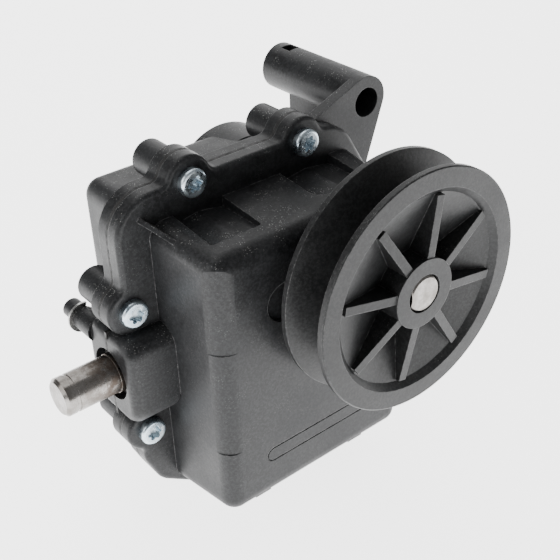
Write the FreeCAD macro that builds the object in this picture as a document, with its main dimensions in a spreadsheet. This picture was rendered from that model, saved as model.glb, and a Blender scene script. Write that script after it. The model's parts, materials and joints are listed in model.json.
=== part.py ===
"""Worm gearbox with a V-belt pulley, a two-shell moulded housing and a cross output shaft.

Frame: X runs along the output shaft, Y runs backwards along the input shaft (the pulley
is at the front, -Y) and Z is up.  The origin is on the ground, under the centre of the
gearbox's bounding box.  All sizes are in millimetres.
"""
import FreeCAD, Part
import math
import os
import Sketcher

# Driving dimensions: alias, value, meaning.
DIMENSIONS = [
    # Axes of the two shafts.
    ("input_x", 23.0, "input shaft axis"),
    ("input_z", 108.0, "input shaft axis above the ground"),
    ("output_y", 8.4, "output shaft axis, in the joint plane of the housing"),
    ("output_z", 77.0, "output shaft axis above the ground"),
    ("shaft_radius", 7.5, "both shafts"),
    ("core_radius", 7.8, "output shaft between the end faces of the snouts"),
    ("core_groove_radius", 7.45, "bottom radius of the ring grooves in that length"),
    ("running_gap", 0.03, "radial clearance of a running fit"),
    ("over", 1.0, "how far a cutting tool reaches past the material, or a joined piece into it"),
    ("sliver", 0.01, "overlap that keeps a hollow open at its mouth"),
    # Input shaft and its pulley.
    ("input_front", -63.0, "front end of the input shaft"),
    ("input_rear", 52.5, "rear end of the input shaft"),
    ("flat_depth", 1.2, "depth of the driving flat on the input shaft"),
    ("flat_rear", -40.0, "where the driving flat ends"),
    ("pulley_radius", 47.0, "outer radius"),
    ("pulley_front", -62.0, "front face of the rim"),
    ("pulley_rear", -40.5, "rear face of the rim"),
    ("rim_width", 2.5, "thickness of the rim at its edge"),
    ("groove_root_radius", 31.0, "bottom of the belt groove"),
    ("groove_root_width", 5.0, "width of the bottom of the belt groove"),
    ("rim_edge", 0.4, "chamfers of the pulley's rims"),
    ("recess_radius", 39.4, "edge of the dished faces"),
    ("dish_step_radius", 37.0, "foot of the steep band round the front dish"),
    ("dish_step_depth", 2.5, "depth of the steep band round the front dish"),
    ("dish_depth", 9.0, "depth of the front dish at the hub"),
    ("web_thickness", 5.0, "disc between hub and rim"),
    ("hub_radius", 13.6, "pulley hub"),
    ("hub_front", -62.8, "front face of the hub"),
    ("rib_width", 3.5, "radial ribs of the pulley"),
    ("rib_end_radius", 36.5, "outer end of the ribs"),
    ("rib_hub_rise", 0.3, "top of the ribs in front of the rim at the hub"),
    ("rib_end_drop", 1.0, "top of the ribs behind the front of the rim at their outer end"),
    ("rib_count", 8, "radial ribs of the pulley"),
    ("rib_bite", 0.5, "how deep the ribs reach into the web"),
    ("key_lead", 3.0, "start of the hub's flat behind its front face"),
    ("mark_x", 40.9, "moulding mark on the front of the rim"),
    ("mark_z", 96.9, "moulding mark on the front of the rim"),
    ("mark_radius", 1.5, "moulding mark"),
    ("mark_depth", 0.25, "moulding mark"),
    ("rib_phase", -12.0, "angle of the first rib above the +X direction"),
    # Worm and worm wheel.
    ("gear_module", 2.0, "axial module"),
    ("wheel_teeth", 20, "teeth of the worm wheel"),
    ("worm_pitch_radius", 11.0, "pitch radius of the single-start worm"),
    ("worm_turns", 4.5, "turns of the worm thread"),
    ("gear_backlash", 0.3, "reduction of the wheel's tooth thickness"),
    ("dedendum", 1.25, "depth of the teeth below the pitch line, in modules"),
    ("pressure_angle", 20.0, "of the worm drive"),
    ("worm_end", 2.5, "free core at each end of the worm's thread"),
    ("thread_bite", 0.4, "how deep the thread reaches into the worm's core"),
    ("thread_gap", 0.05, "clearance of the thread on each flank"),
    ("flank_lift", 0.02, "start of the tooth flanks outside their base circle"),
    ("dog_count", 4, "dogs on each side of the clutch"),
    ("dog_angle", 43.0, "angle that each dog covers"),
    ("wheel_width", 14.0, "face width of the wheel"),
    ("wheel_hub_radius", 13.0, "hub of the wheel, which carries the dogs"),
    ("wheel_hub_length", 7.0, "length of the wheel's hub"),
    ("dog_height", 3.6, "height of the dogs"),
    ("dog_inner_radius", 9.4, "inner radius of the dogs"),
    ("sleeve_length", 12.0, "length of the sliding dog sleeve"),
    ("sleeve_face_x", 5.0, "front face of the dog sleeve when it is engaged"),
    ("key_width", 4.0, "key of the dog sleeve"),
    ("key_top", 9.1, "top of the key above the shaft's axis"),
    ("key_bottom", 5.2, "bottom of the keyway above the shaft's axis"),
    ("key_left_x", -6.6, "left end of the key"),
    ("key_right_x", 4.0, "right end of the key"),
    ("spring_radius", 10.6, "mean radius of the clutch spring"),
    ("spring_wire", 0.85, "half the width of the clutch spring's square wire"),
    ("spring_turns", 4, "turns of the clutch spring"),
    ("spring_length", 12.0, "fitted length of the clutch spring"),
    ("spring_gap", 0.2, "clearance at each end of the clutch spring"),
    # Output shaft.
    ("output_half", 88.0, "half length of the output shaft"),
    ("end_chamfer", 1.2, "chamfers at the shaft ends"),
    ("end_groove_x", 83.2, "middle of the ring grooves near the output shaft's ends"),
    ("end_groove_width", 1.4, "width of those grooves"),
    ("ring_groove_radius", 7.15, "bottom radius of the other ring grooves"),
    ("ring_radius", 10.0, "outer radius of the retaining rings"),
    ("ring_thickness", 1.0, "thickness of the retaining rings"),
    ("ring_play", 0.1, "width of a ring groove beyond its ring"),
    ("ring_opening", 318.0, "angle that a retaining ring covers"),
    ("ring_gap", 0.3, "gap between a washer and its ring"),
    ("side_gap", 0.2, "gap between a ring and the piece it holds"),
    ("stop_gap", 0.5, "gap beside the stops of the input shaft"),
    ("washer_thickness", 1.4, "thickness of the thrust washers"),
    ("washer_radius", 11.0, "outer radius of the thrust washers"),
    ("bush_radius", 10.5, "outer radius of the output bushes and seals"),
    ("bush_inner_x", 43.0, "inner end of the output bushes"),
    ("bush_outer_x", 56.0, "outer end of the output bushes"),
    ("seal_outer_x", 62.4, "outer face of the output seals"),
    ("seal_gap", 0.4, "gap between a bush and its seal"),
    # Ball bearings of the input shaft.
    ("bearing_radius", 17.5, "outer radius"),
    ("bearing_width", 11.0, "width"),
    ("front_bearing_y", -27.0, "front face of the front bearing"),
    ("rear_bearing_y", 40.0, "front face of the rear bearing"),
    ("ball_count", 8, "balls in each bearing"),
    ("ball_radius", 2.97, "balls"),
    ("ball_pitch_radius", 12.6, "circle of ball centres"),
    ("race_radius", 3.05, "section radius of the races"),
    ("inner_ring_radius", 10.5, "outer radius of the inner ring"),
    ("outer_ring_radius", 14.7, "inner radius of the outer ring"),
    ("cage_half", 0.6, "half the thickness of the cage"),
    ("pocket_gap", 0.06, "clearance round a ball in its cage"),
    ("cage_width", 7.0, "width of the cage"),
    # Housing shells.
    ("wall", 3.5, "housing wall"),
    ("roof", 6.0, "top wall of both shells"),
    ("front_face", -32.0, "front face of the front shell"),
    ("flange_front", 1.7, "front of the front flange"),
    ("joint_front", 7.7, "joint face of the front shell"),
    ("joint_rear", 9.1, "joint face of the rear shell"),
    ("flange_rear", 14.0, "back of the rear flange"),
    ("rear_face", 55.4, "rear face of the rear shell"),
    ("half_at_end", 44.35, "half width of a shell at its closed end"),
    ("half_at_joint", 47.6, "half width of a shell at the joint"),
    ("top_at_end", 132.3, "top of a shell at its closed end"),
    ("top_at_joint", 135.8, "top of a shell at the joint"),
    ("bottom_at_end", 19.1, "bottom of a shell at its closed end"),
    ("bottom_at_joint", 15.9, "bottom of a shell at the joint"),
    ("front_rounding", 6.5, "edges of the front shell"),
    ("cavity_rounding", 3.5, "edges inside both shells"),
    ("low_ledge_z", 49.0, "lower ledge on the front left corner"),
    ("low_ledge_radius", 7.6, "corner rounding above the lower ledge"),
    ("high_ledge_z", 94.5, "upper ledge on the front left corner"),
    ("high_ledge_radius", 8.6, "corner rounding above the upper ledge"),
    ("corner_rib_x", -44.6, "foot of the thin rib on the top left edge"),
    ("corner_rib_z", 132.7, "height of that foot"),
    ("corner_rib_front", -10.0, "front end of that rib"),
    ("corner_rib_height", 9.5, "how far that rib stands out beside the flange"),
    ("corner_rib_root", 4.0, "how far that rib reaches into the shell"),
    ("corner_rib_sink", 0.5, "how far its front end lies under the surface"),
    ("corner_rib_thickness", 1.8, "thickness of that rib"),
    ("rear_rounding", 7.0, "edges of the rear shell"),
    ("flange_half", 60.0, "half width of the flange"),
    ("flange_top", 146.8, "top edge of the flange"),
    ("flange_bottom", 7.0, "bottom edge of the flange"),
    ("low_corner_top", 34.0, "where the cut lower corners of the flange start"),
    ("low_corner_x", 54.0, "middle of the cut lower corners"),
    ("low_corner_z", 20.5, "middle of the cut lower corners"),
    ("low_corner_end", 35.0, "where the cut lower corners end"),
    ("high_corner_z", 116.0, "where the cut upper right corner starts"),
    ("high_corner_x", 42.4, "where the cut upper right corner ends"),
    ("corner_top_left", 16.0, "corner radius of the flange"),
    ("corner_top_right", 18.0, "corner radius of the flange"),
    ("corner_other", 12.0, "corner radius of the flange"),
    ("ear_radius", 9.5, "flange ears round the screws"),
    ("ear_blend", 4.0, "hollow corners between the ears and the flange"),
    ("flange_edge", 1.8, "rounded front edge of the front flange"),
    ("boss_radius", 7.0, "screw bosses of the rear shell"),
    ("boss_rear", 28.0, "rear end of the screw bosses"),
    ("foot_left_x", -16.0, "middle of the left feet"),
    ("foot_right_x", 36.0, "middle of the right feet"),
    ("foot_width", 8.0, "width of the feet"),
    ("foot_front", -14.0, "front end of the front shell's feet"),
    ("foot_rear", 30.0, "rear end of the rear shell's feet"),
    # Snouts round the output shaft.
    ("snout_end", 66.0, "end face of the snouts from the middle plane"),
    ("snout_half", 18.8, "half height of the snouts"),
    ("snout_corner", 8.0, "rounded inner lower corner of the front snouts"),
    ("snout_corner_x", 46.8, "inner side of that corner"),
    ("snout_front", -6.7, "front of the snouts"),
    ("snout_rear", 23.6, "rear of the snouts"),
    ("snout_rounding", 8.0, "long edges of the snouts"),
    ("snout_end_rounding", 4.0, "edges round the end faces of the snouts"),
    # Front boss, bearing carriers and seal.
    ("front_boss_radius", 17.0, "boss behind the pulley"),
    ("front_boss_front", -36.0, "front face of that boss"),
    ("carrier_radius", 21.5, "bearing carriers inside the shells"),
    ("input_seal_radius", 13.0, "outer radius of the input seal"),
    ("input_seal_front", -35.5, "front face of the input seal"),
    ("input_seal_width", 6.5, "width of the input seal"),
    ("lip_width", 1.2, "lip and rim of the input seal"),
    ("seal_recess", 1.5, "hollow between them"),
    ("passage_gap", 2.0, "radial clearance of the input shaft's passages"),
    ("bump_radius", 26.0, "swell of the rear shell round its bearing"),
    ("bump_front", 38.0, "front of that swell"),
    # Screws.
    ("screw_seat", 1.7, "under the screw heads"),
    ("screw_head_radius", 5.4, "screw head"),
    ("screw_head_height", 3.2, "screw head"),
    ("screw_crown", 1.2, "rounded edge of the screw head"),
    ("screw_radius", 2.4, "screw shank"),
    ("screw_length", 20.0, "screw shank"),
    ("screw_gap", 0.1, "clearance of the screw holes in the front flange"),
    ("lobe_circle", 2.3, "circle of the lobes of the screw recess"),
    ("lobe_radius", 0.85, "lobes of the screw recess"),
    ("lobe_count", 6, "lobes of the screw recess"),
    ("recess_depth", 2.2, "depth of the screw recess"),
    # Torque arm of the rear shell.
    ("arm_x", 61.8, "axis of the torque arm's tube"),
    ("arm_z", 147.4, "axis of the torque arm's tube"),
    ("arm_radius", 9.8, "outer radius of the tube"),
    ("arm_bore_x", 61.9, "axis of the tube's bore"),
    ("arm_bore_z", 146.5, "axis of the tube's bore"),
    ("arm_bore_radius", 6.0, "bore of the tube"),
    ("arm_rear", 63.0, "rear end of the tube, whose front is flush with the joint"),
    ("plate_left_x", 26.0, "where the arm's plate leaves the flange's top edge"),
    ("plate_left_z", 143.9, "where the arm's plate leaves the flange's top edge"),
    ("plate_slope", 21.3, "angle of the plate's upper edge"),
    ("plate_right_slope", 70.6, "angle of the plate's right edge"),
    ("plate_right_x", 58.9, "lower end of the plate's right edge"),
    ("plate_low_z", 110.0, "lower end of the plate's right edge"),
    ("plate_inner_x", 50.0, "inner end of the plate's lower edge"),
    ("notch_front", 53.0, "notch in the top of the tube"),
    ("notch_rear", 58.5, "notch in the top of the tube"),
    ("notch_width", 5.5, "notch in the top of the tube"),
    ("web_thickness_arm", 5.0, "web under the tube"),
    ("web_right", -1.0, "right side of the web from the tube's axis"),
    ("web_top", -6.0, "top of the web from the tube's axis"),
    ("web_rear", 50.0, "rear end of the web"),
    ("web_rear_low", -20.0, "lower end of the web's rear edge from the tube's axis"),
    ("web_knee_y", 34.0, "knee in the web's lower edge"),
    ("web_knee", -32.0, "knee in the web's lower edge from the tube's axis"),
    ("web_low", -36.0, "lowest point of the web from the tube's axis"),
    # Details of the front shell.
    ("trough_left", -37.0, "screwdriver trough in front of the top left screw"),
    ("trough_middle", -26.3, "crest of its floor"),
    ("trough_right", -15.5, "right side of the trough"),
    ("trough_front", -21.0, "front end of the trough"),
    ("trough_corner", 1.0, "rounded front corners of the trough"),
    ("trough_low", -0.9, "lowest line of both troughs' floors from the top of the closed end"),
    ("trough_crest", 0.8, "crest of both troughs' floors from the same height"),
    ("second_trough_left", 11.0, "trough in front of the top right screw"),
    ("second_trough_middle", 23.5, "crest of its floor"),
    ("second_trough_right", 35.0, "right side of the trough"),
    ("second_trough_front", -20.0, "front end of the trough"),
    ("second_trough_corner", 6.0, "rounded front corners of the trough"),
    ("face_recess_x", -15.0, "round recess in the front face"),
    ("face_recess_z", 106.5, "round recess in the front face"),
    ("face_recess_radius", 8.0, "round recess in the front face"),
    ("face_recess_depth", 1.2, "round recess in the front face"),
    ("label_left", -23.0, "centre of the label area's left end"),
    ("label_right", 25.0, "centre of the label area's right end"),
    ("label_low", 36.0, "lower edge of the label area"),
    ("label_high", 42.5, "upper edge of the label area"),
    ("label_line", 0.5, "width of the line round the label area"),
    ("label_depth", 0.4, "depth of the line round the label area"),
    # Pivot post with its snap ring.
    ("post_x", -62.7, "axis of the pivot post"),
    ("post_z", 89.0, "axis of the pivot post"),
    ("post_radius", 4.65, "base of the post"),
    ("post_shoulder", 31.0, "end of the base of the post"),
    ("post_neck_radius", 3.4, "groove for the snap ring"),
    ("post_tip_radius", 3.9, "tip of the post"),
    ("post_rear", 40.0, "rear end of the post"),
    ("snap_ring_radius", 6.25, "outer radius of the snap ring"),
]

# Screws: name of the place, x and z of the axis.
SCREW_PLACES = [
    ("top_left", -28.5, 145.8),
    ("top_right", 22.8, 144.5),
    ("upper_left", -57.5, 104.0),
    ("lower_left", -56.5, 49.0),
    ("upper_right", 57.5, 104.0),
    ("lower_right", 56.5, 49.0),
    ("bottom_left", -28.0, 9.5),
    ("bottom_right", 24.0, 9.5),
]

FIRST_PLANE = {"XY": "XY_Plane", "XZ": "XZ_Plane", "YZ": "YZ_Plane"}
ALONG = {
    "x": FreeCAD.Rotation(FreeCAD.Vector(0, 1, 0), 90),
    "y": FreeCAD.Rotation(FreeCAD.Vector(1, 0, 0), -90),
    "z": FreeCAD.Rotation(),
}

doc = FreeCAD.newDocument("gearbox")
sheet = doc.addObject("Spreadsheet::Sheet", "dims")
nodes = []


# --------------------------------------------------------------------------- helpers
def fill_sheet():
    """Write the driving dimensions, their aliases and their meanings into the sheet."""
    for row, (alias, number, meaning) in enumerate(DIMENSIONS, 1):
        sheet.set(f"A{row}", alias)
        sheet.set(f"B{row}", str(number))
        sheet.setAlias(f"B{row}", alias)
        sheet.set(f"C{row}", meaning)
    for number, (place, x, z) in enumerate(SCREW_PLACES, len(DIMENSIONS) + 1):
        sheet.set(f"A{number}", place)
        sheet.set(f"B{number}", str(x))
        sheet.setAlias(f"B{number}", f"{place}_x")
        sheet.set(f"C{number}", str(z))
        sheet.setAlias(f"C{number}", f"{place}_z")
    doc.recompute()


def value(expression):
    """Number that an expression of sheet aliases gives."""
    return float(sheet.evalExpression(str(expression)))


def linked(expression):
    """The same expression, as another object has to write it."""
    names = [alias for alias, _, _ in DIMENSIONS]
    names += [f"{place}_{axis}" for place, _, _ in SCREW_PLACES for axis in "xz"]
    text = str(expression)
    word = ""
    result = ""
    for letter in text + " ":
        if letter.isalnum() or letter == "_":
            word += letter
            continue
        result += f"dims.{word}" if word in names else word
        result += letter
        word = ""
    return result.strip()


def bind(obj, **sizes):
    """Bind properties of an object to expressions of the sheet."""
    for name, expression in sizes.items():
        obj.setExpression(name, linked(expression))


def place(obj, x=0, y=0, z=0, along="z"):
    """Put an object's own origin at x, y, z with its own Z along the named axis."""
    obj.Placement = FreeCAD.Placement(FreeCAD.Vector(), ALONG[along])
    for name, expression in (("x", x), ("y", y), ("z", z)):
        obj.setExpression(f"Placement.Base.{name}", linked(expression))


def box(name, x, y, z):
    """Box between two expressions along each axis."""
    obj = doc.addObject("Part::Box", name)
    bind(obj, Length=f"({x[1]}) - ({x[0]})", Width=f"({y[1]}) - ({y[0]})")
    bind(obj, Height=f"({z[1]}) - ({z[0]})")
    place(obj, x[0], y[0], z[0])
    return obj


def cylinder(name, radius, start, end, centre, along="y", angle=360):
    """Cylinder along an axis, between start and end, centred on the other two."""
    obj = doc.addObject("Part::Cylinder", name)
    bind(obj, Radius=radius, Height=f"({end}) - ({start})")
    obj.Angle = angle
    if along == "y":
        place(obj, centre[0], start, centre[1], "y")
    elif along == "x":
        place(obj, start, centre[0], centre[1], "x")
    else:
        place(obj, centre[0], centre[1], start, "z")
    return obj


def joined(name, parts):
    """Fusion of several objects."""
    obj = doc.addObject("Part::MultiFuse", name)
    obj.Shapes = parts
    return obj


def cut(name, base, tools):
    """Base with all the tools taken away."""
    obj = doc.addObject("Part::Cut", name)
    obj.Base = base
    obj.Tool = tools[0] if len(tools) == 1 else joined(f"{name}_tools", tools)
    return obj


def rounded(name, base, choose):
    """Fillet: choose gives an edge's radius expression, or None to leave it sharp."""
    doc.recompute()
    obj = doc.addObject("Part::Fillet", name)
    obj.Base = base
    edges = []
    for number, edge in enumerate(base.Shape.Edges, 1):
        radius = choose(edge)
        if radius is not None:
            edges.append((number, value(radius), value(radius)))
    obj.Edges = edges
    return obj


def runs_along(edge, axis):
    """Whether a straight edge is parallel to the named axis."""
    first, last = edge.Vertexes[0].Point, edge.Vertexes[-1].Point
    step = last - first
    return all(abs(getattr(step, other)) < 1e-6 for other in "xyz" if other != axis)


def polygon(sketch, points):
    """Closed polygon in a sketch, each corner tied to its two expressions."""
    numbers = [(value(u), value(v)) for u, v in points]
    count = len(points)
    for index in range(count):
        first = FreeCAD.Vector(*numbers[index], 0)
        last = FreeCAD.Vector(*numbers[(index + 1) % count], 0)
        sketch.addGeometry(Part.LineSegment(first, last))
    for index in range(count):
        following = (index + 1) % count
        sketch.addConstraint(Sketcher.Constraint("Coincident", index, 2, following, 1))
    for index, corner in enumerate(points):
        for kind, axis, expression, number in (
            ("DistanceX", -2, corner[0], numbers[index][0]),
            ("DistanceY", -1, corner[1], numbers[index][1]),
        ):
            if abs(number) < 1e-9:
                sketch.addConstraint(Sketcher.Constraint("PointOnObject", index, 1, axis))
                continue
            rule = Sketcher.Constraint(kind, -1, 1, index, 1, number)
            position = sketch.addConstraint(rule)
            sketch.setExpression(f"Constraints[{position}]", linked(expression))


def circle(sketch, centre, radius):
    """Circle in a sketch, tied to its three expressions."""
    u, v = value(centre[0]), value(centre[1])
    shape = Part.Circle(FreeCAD.Vector(u, v, 0), FreeCAD.Vector(0, 0, 1), value(radius))
    index = sketch.addGeometry(shape)
    position = sketch.addConstraint(Sketcher.Constraint("Radius", index, value(radius)))
    sketch.setExpression(f"Constraints[{position}]", linked(radius))
    for kind, axis, expression, number in (
        ("DistanceX", -2, centre[0], u),
        ("DistanceY", -1, centre[1], v),
    ):
        if abs(number) < 1e-9:
            sketch.addConstraint(Sketcher.Constraint("PointOnObject", index, 3, axis))
            continue
        position = sketch.addConstraint(Sketcher.Constraint(kind, -1, 1, index, 3, number))
        sketch.setExpression(f"Constraints[{position}]", linked(expression))


def body_sketch(body, name, plane):
    """Sketch on one of a body's own origin planes."""
    sketch = body.newObject("Sketcher::SketchObject", name)
    feature = [f for f in body.Origin.OriginFeatures if f.Role == FIRST_PLANE[plane]][0]
    sketch.AttachmentSupport = [(feature, "")]
    sketch.MapMode = "FlatFace"
    return sketch


def turned(name, along, points, axis_at):
    """Body turned from a profile of (position along the axis, radius) corners.

    The profile lies in the body's XY plane.  The body's origin is on the turning axis,
    so a body along x has its profile's u along X, and one along y has its v along Y.
    """
    body = doc.addObject("PartDesign::Body", name)
    sketch = body_sketch(body, f"{name}_profile", "XY")
    if along == "x":
        polygon(sketch, points)
    else:
        polygon(sketch, [(radius, position) for position, radius in points])
    revolution = body.newObject("PartDesign::Revolution", f"{name}_turned")
    revolution.Profile = sketch
    revolution.ReferenceAxis = (sketch, ["H_Axis" if along == "x" else "V_Axis"])
    revolution.Angle = 360
    if along == "x":
        place(body, 0, axis_at[0], axis_at[1])
    else:
        place(body, axis_at[0], 0, axis_at[1])
    return body


def grooved(body, name, along, position, radius, section):
    """Ring groove of round section turned into a body."""
    sketch = body_sketch(body, f"{name}_section", "XY")
    centre = (position, radius) if along == "x" else (radius, position)
    circle(sketch, centre, section)
    groove = body.newObject("PartDesign::Groove", name)
    groove.Profile = sketch
    groove.ReferenceAxis = (sketch, ["H_Axis" if along == "x" else "V_Axis"])
    groove.Angle = 360
    return groove


def extruded(name, plane, points, start, end):
    """Polygon in the XZ, YZ or XY plane, extruded between start and end."""
    sketch = doc.addObject("Sketcher::SketchObject", f"{name}_outline")
    polygon(sketch, points)
    turn = {
        "XZ": FreeCAD.Rotation(FreeCAD.Vector(1, 0, 0), 90),
        "YZ": FreeCAD.Rotation(0.5, 0.5, 0.5, 0.5),
        "XY": FreeCAD.Rotation(),
    }[plane]
    sketch.Placement = FreeCAD.Placement(FreeCAD.Vector(), turn)
    base = {"XZ": "y", "YZ": "x", "XY": "z"}[plane]
    sketch.setExpression(f"Placement.Base.{base}", linked(start))
    solid = doc.addObject("Part::Extrusion", name)
    solid.Base = sketch
    solid.DirMode = "Custom"
    solid.Dir = {"XZ": (0, 1, 0), "YZ": (1, 0, 0), "XY": (0, 0, 1)}[plane]
    solid.Solid = True
    bind(solid, LengthFwd=f"({end}) - ({start})")
    return solid


def node(obj, label):
    """Register an object as a finished piece under its node name."""
    obj.Label = label
    nodes.append(obj)
    return obj


# --------------------------------------------------------------------------- pulley
def make_pulley():
    """Moulded V-belt pulley: dished faces, a keyed hub and eight radial ribs in front."""
    middle = "(pulley_front + pulley_rear) / 2"
    web_front = "pulley_front + dish_depth"
    web_rear = f"{web_front} + web_thickness"
    profile = [
        ("hub_front", "shaft_radius + running_gap"),
        ("hub_front", "hub_radius"),
        (web_front, "hub_radius"),
        ("pulley_front + dish_step_depth", "dish_step_radius"),
        ("pulley_front", "recess_radius"),
        ("pulley_front", "pulley_radius - rim_edge"),
        ("pulley_front + rim_edge", "pulley_radius"),
        ("pulley_front + rim_width", "pulley_radius"),
        (f"{middle} - groove_root_width / 2", "groove_root_radius"),
        (f"{middle} + groove_root_width / 2", "groove_root_radius"),
        ("pulley_rear - rim_width", "pulley_radius"),
        ("pulley_rear - rim_edge", "pulley_radius"),
        ("pulley_rear", "pulley_radius - rim_edge"),
        ("pulley_rear", "recess_radius"),
        ("pulley_rear - 2 * rim_edge", "recess_radius - rim_edge"),
        (web_rear, "hub_radius"),
        ("pulley_rear", "hub_radius"),
        ("pulley_rear", "shaft_radius + running_gap"),
    ]
    body = turned("Pulley", "y", profile, ("input_x", "input_z"))
    sketch = body_sketch(body, "rib_outline", "XY")
    polygon(sketch, [
        ("hub_radius - over", "pulley_front - rib_hub_rise"),
        ("rib_end_radius", "pulley_front + rib_end_drop"),
        ("rib_end_radius", "pulley_front + dish_step_depth + rib_bite"),
        ("hub_radius - over", f"{web_front} + rib_bite"),
    ])
    rib = body.newObject("PartDesign::Pad", "rib")
    rib.Profile = sketch
    rib.Midplane = True
    bind(rib, Length="rib_width")
    pattern = body.newObject("PartDesign::PolarPattern", "ribs")
    pattern.Originals = [rib]
    pattern.Axis = ([f for f in body.Origin.OriginFeatures if f.Role == "Y_Axis"][0], [""])
    pattern.Angle = 360
    bind(pattern, Occurrences="rib_count")
    body.Tip = pattern
    turn = FreeCAD.Rotation(FreeCAD.Vector(0, 1, 0), -value("rib_phase"))
    body.Placement = FreeCAD.Placement(body.Placement.Base, turn)
    doc.recompute()
    key = box(
        "pulley_flat",
        ("input_x - shaft_radius - over", "input_x - shaft_radius + flat_depth - running_gap"),
        ("hub_front + key_lead", "flat_rear - stop_gap"),
        ("input_z - shaft_radius", "input_z + shaft_radius"),
    )
    mark = cylinder(
        "moulding_mark", "mark_radius", "pulley_front - over", "pulley_front + mark_depth",
        ("mark_x", "mark_z"),
    )
    node(cut("MarkedPulley", joined("PulleyWithFlat", [body, key]), [mark]), "pulley")


# --------------------------------------------------------------------------- worm drive
def swept_thread(pitch, turns, radius, section):
    """Solid swept along a right-handed helix about Z; section is a list of (r, z)."""
    helix = Part.makeHelix(pitch, pitch * turns, radius)
    corners = [FreeCAD.Vector(r, 0, z) for r, z in section]
    outline = Part.makePolygon(corners + corners[:1])
    return Part.Wire(helix.Edges).makePipeShell([outline], True, True)


def make_worm_thread():
    """Thread of the worm, with its crest over the wheel's tooth gap at the middle."""
    module = value("gear_module")
    pitch = math.pi * module
    slope = math.tan(math.radians(value("pressure_angle")))
    pitch_radius = value("worm_pitch_radius")
    tip = pitch_radius + module
    foot = pitch_radius - value("dedendum * gear_module + thread_bite")
    half = pitch / 4 - value("thread_gap")
    section = [
        (foot, -half - (pitch_radius - foot) * slope),
        (tip, -half + module * slope),
        (tip, half - module * slope),
        (foot, half + (pitch_radius - foot) * slope),
    ]
    turns = value("worm_turns")
    thread = doc.addObject("Part::Feature", "WormThread")
    thread.Shape = swept_thread(pitch, turns, pitch_radius, section)
    start = value("output_y") - pitch * turns / 2
    place_at = FreeCAD.Vector(value("input_x"), start, value("input_z"))
    thread.Placement = FreeCAD.Placement(place_at, ALONG["y"])
    return thread


def make_input_shaft():
    """Steel input shaft with its worm, ring grooves and the flat that drives it."""
    core = "worm_pitch_radius - dedendum * gear_module"
    half_worm = "(worm_turns * gear_module * pi / 2 + worm_end)"
    rings = ["flat_rear + stop_gap", "front_bearing_y + bearing_width + ring_gap"]
    rings += ["rear_bearing_y - ring_thickness - stop_gap"]
    profile = [
        ("input_front", "0"),
        ("input_front", "shaft_radius - end_chamfer"),
        ("input_front + end_chamfer", "shaft_radius"),
    ]
    for start in rings[:2]:
        profile += ring_groove(start)
    profile += [
        (f"output_y - {half_worm}", "shaft_radius"),
        (f"output_y - {half_worm}", core),
        (f"output_y + {half_worm}", core),
        (f"output_y + {half_worm}", "shaft_radius"),
    ]
    profile += ring_groove(rings[2])
    profile += [
        ("input_rear - end_chamfer", "shaft_radius"),
        ("input_rear", "shaft_radius - end_chamfer"),
        ("input_rear", "0"),
    ]
    shaft = turned("InputShaftBlank", "y", profile, ("input_x", "input_z"))
    doc.recompute()
    flat = box(
        "driving_flat",
        ("input_x - shaft_radius - over", "input_x - shaft_radius + flat_depth"),
        ("input_front - over", "flat_rear"),
        ("input_z - shaft_radius", "input_z + shaft_radius"),
    )
    flatted = cut("FlattedShaft", shaft, [flat])
    node(joined("InputShaft", [flatted, make_worm_thread()]), "input_shaft")
    for number, start in enumerate(rings):
        label = ["pulley_stop_ring", "front_bearing_ring", "rear_bearing_ring"][number]
        retaining_ring(label, start, ("input_x", "input_z"), "y", hole_radius="ring_groove_radius")


def ring_groove(start, surface="shaft_radius", bottom="ring_groove_radius"):
    """Corners of a ring groove that starts at the given position."""
    end = f"{start} + ring_thickness + ring_play"
    return [(start, surface), (start, bottom), (end, bottom), (end, surface)]


def retaining_ring(label, start, centre, along, radius="ring_radius", hole_radius="core_groove_radius"):
    """Open spring-steel ring seated in a shaft groove."""
    end = f"{start} + ring_thickness"
    first = f"{start} + ring_play / 2"
    disc = cylinder(f"{label}_disc", radius, first, end, centre, along, value("ring_opening"))
    hole = cylinder(f"{label}_hole", hole_radius, first, end, centre, along)
    node(cut(f"{label}_body", disc, [hole]), label)


def wheel_outline(turn):
    """Outline of the worm wheel about Z, turned by an angle, with involute flanks."""
    module = value("gear_module")
    teeth = int(value("wheel_teeth"))
    pitch_radius = module * teeth / 2
    pressure = math.radians(value("pressure_angle"))
    base_radius = pitch_radius * math.cos(pressure)
    tip, root = pitch_radius + module, pitch_radius - value("dedendum") * module
    thickness = math.pi * module / 2 - value("gear_backlash")

    def involute(angle):
        return math.tan(angle) - angle

    def half_angle(radius):
        here = math.acos(min(1.0, base_radius / radius))
        return thickness / 2 / pitch_radius + involute(pressure) - involute(here)

    def at(radius, angle):
        return FreeCAD.Vector(radius * math.cos(angle), radius * math.sin(angle), 0)

    edges = []
    step = 2 * math.pi / teeth
    flank = [base_radius + value("flank_lift"), (base_radius + tip) / 2, tip]
    spread = [half_angle(radius) for radius in flank]
    for tooth in range(teeth):
        centre = turn + (tooth + 0.5) * step
        rising = [at(r, centre - a) for r, a in zip(flank, spread)]
        falling = [at(r, centre + a) for r, a in zip(flank, spread)]
        foot_in = at(root, centre - spread[0])
        foot_out = at(root, centre + spread[0])
        following = at(root, centre + step - spread[0])
        edges.append(Part.LineSegment(foot_in, rising[0]).toShape())
        edges.append(Part.Arc(*rising).toShape())
        edges.append(Part.Arc(rising[2], at(tip, centre), falling[2]).toShape())
        edges.append(Part.Arc(falling[2], falling[1], falling[0]).toShape())
        edges.append(Part.LineSegment(falling[0], foot_out).toShape())
        edges.append(Part.Arc(foot_out, at(root, centre + step / 2), following).toShape())
    return Part.Wire(edges)


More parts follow.
